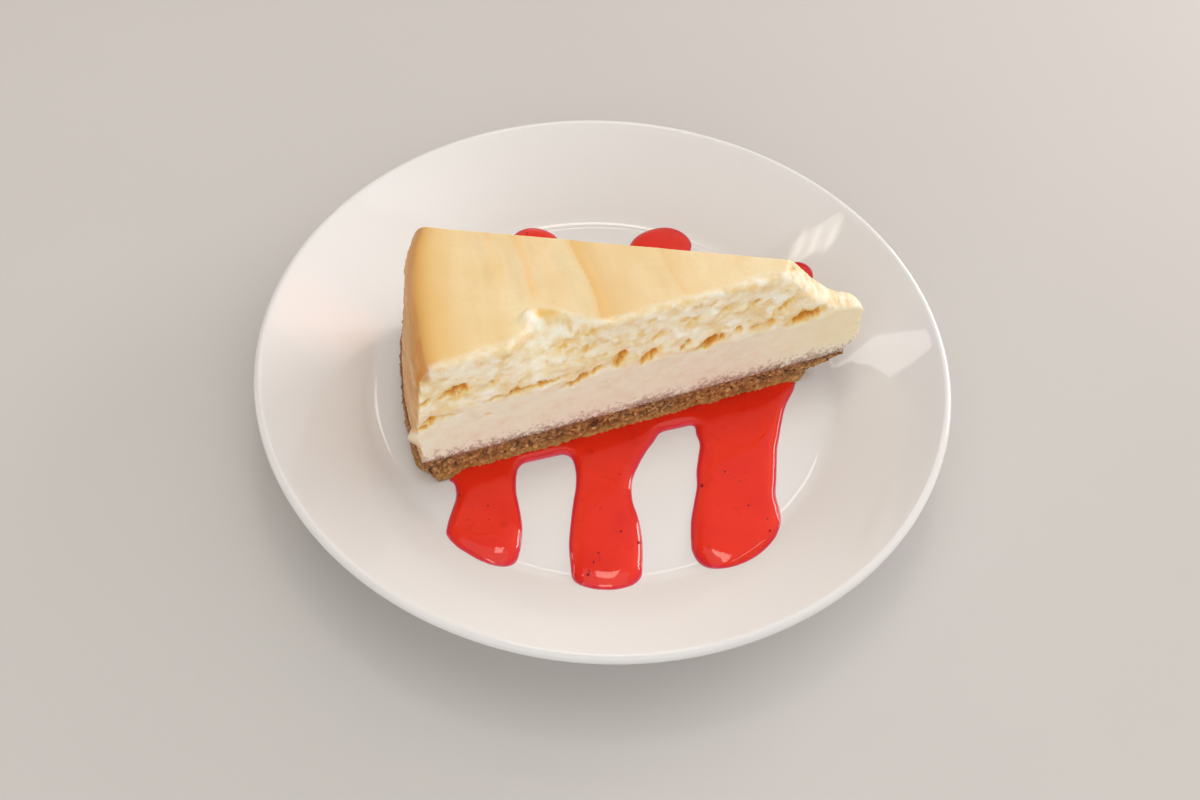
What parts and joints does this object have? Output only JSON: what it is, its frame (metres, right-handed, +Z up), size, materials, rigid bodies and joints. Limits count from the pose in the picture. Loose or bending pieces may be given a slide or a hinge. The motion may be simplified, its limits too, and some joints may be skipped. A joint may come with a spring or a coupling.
{
  "type": "cheesecake slice on plate",
  "caption": "Wedge of baked cheesecake with a crumb base, lying on a round coupe plate across bands of red fruit sauce.",
  "frame": {"origin": "centre of the plate's foot ring, on the surface that the plate stands on", "axes": "+Z up; the slice lies along X with its point towards +X and the cut face that the picture shows towards -Y"},
  "size_m": [0.19, 0.19, 0.0495],
  "materials": {
    "porcelain": "gloss",
    "fruit_sauce": "gloss",
    "crumb_base": "matte",
    "cheesecake": "satin"
  },
  "bodies": {
    "root": {"plate": "porcelain", "sauce": "fruit_sauce", "crumb_base": "crumb_base", "filling": "cheesecake"}
  },
  "joints": []
}
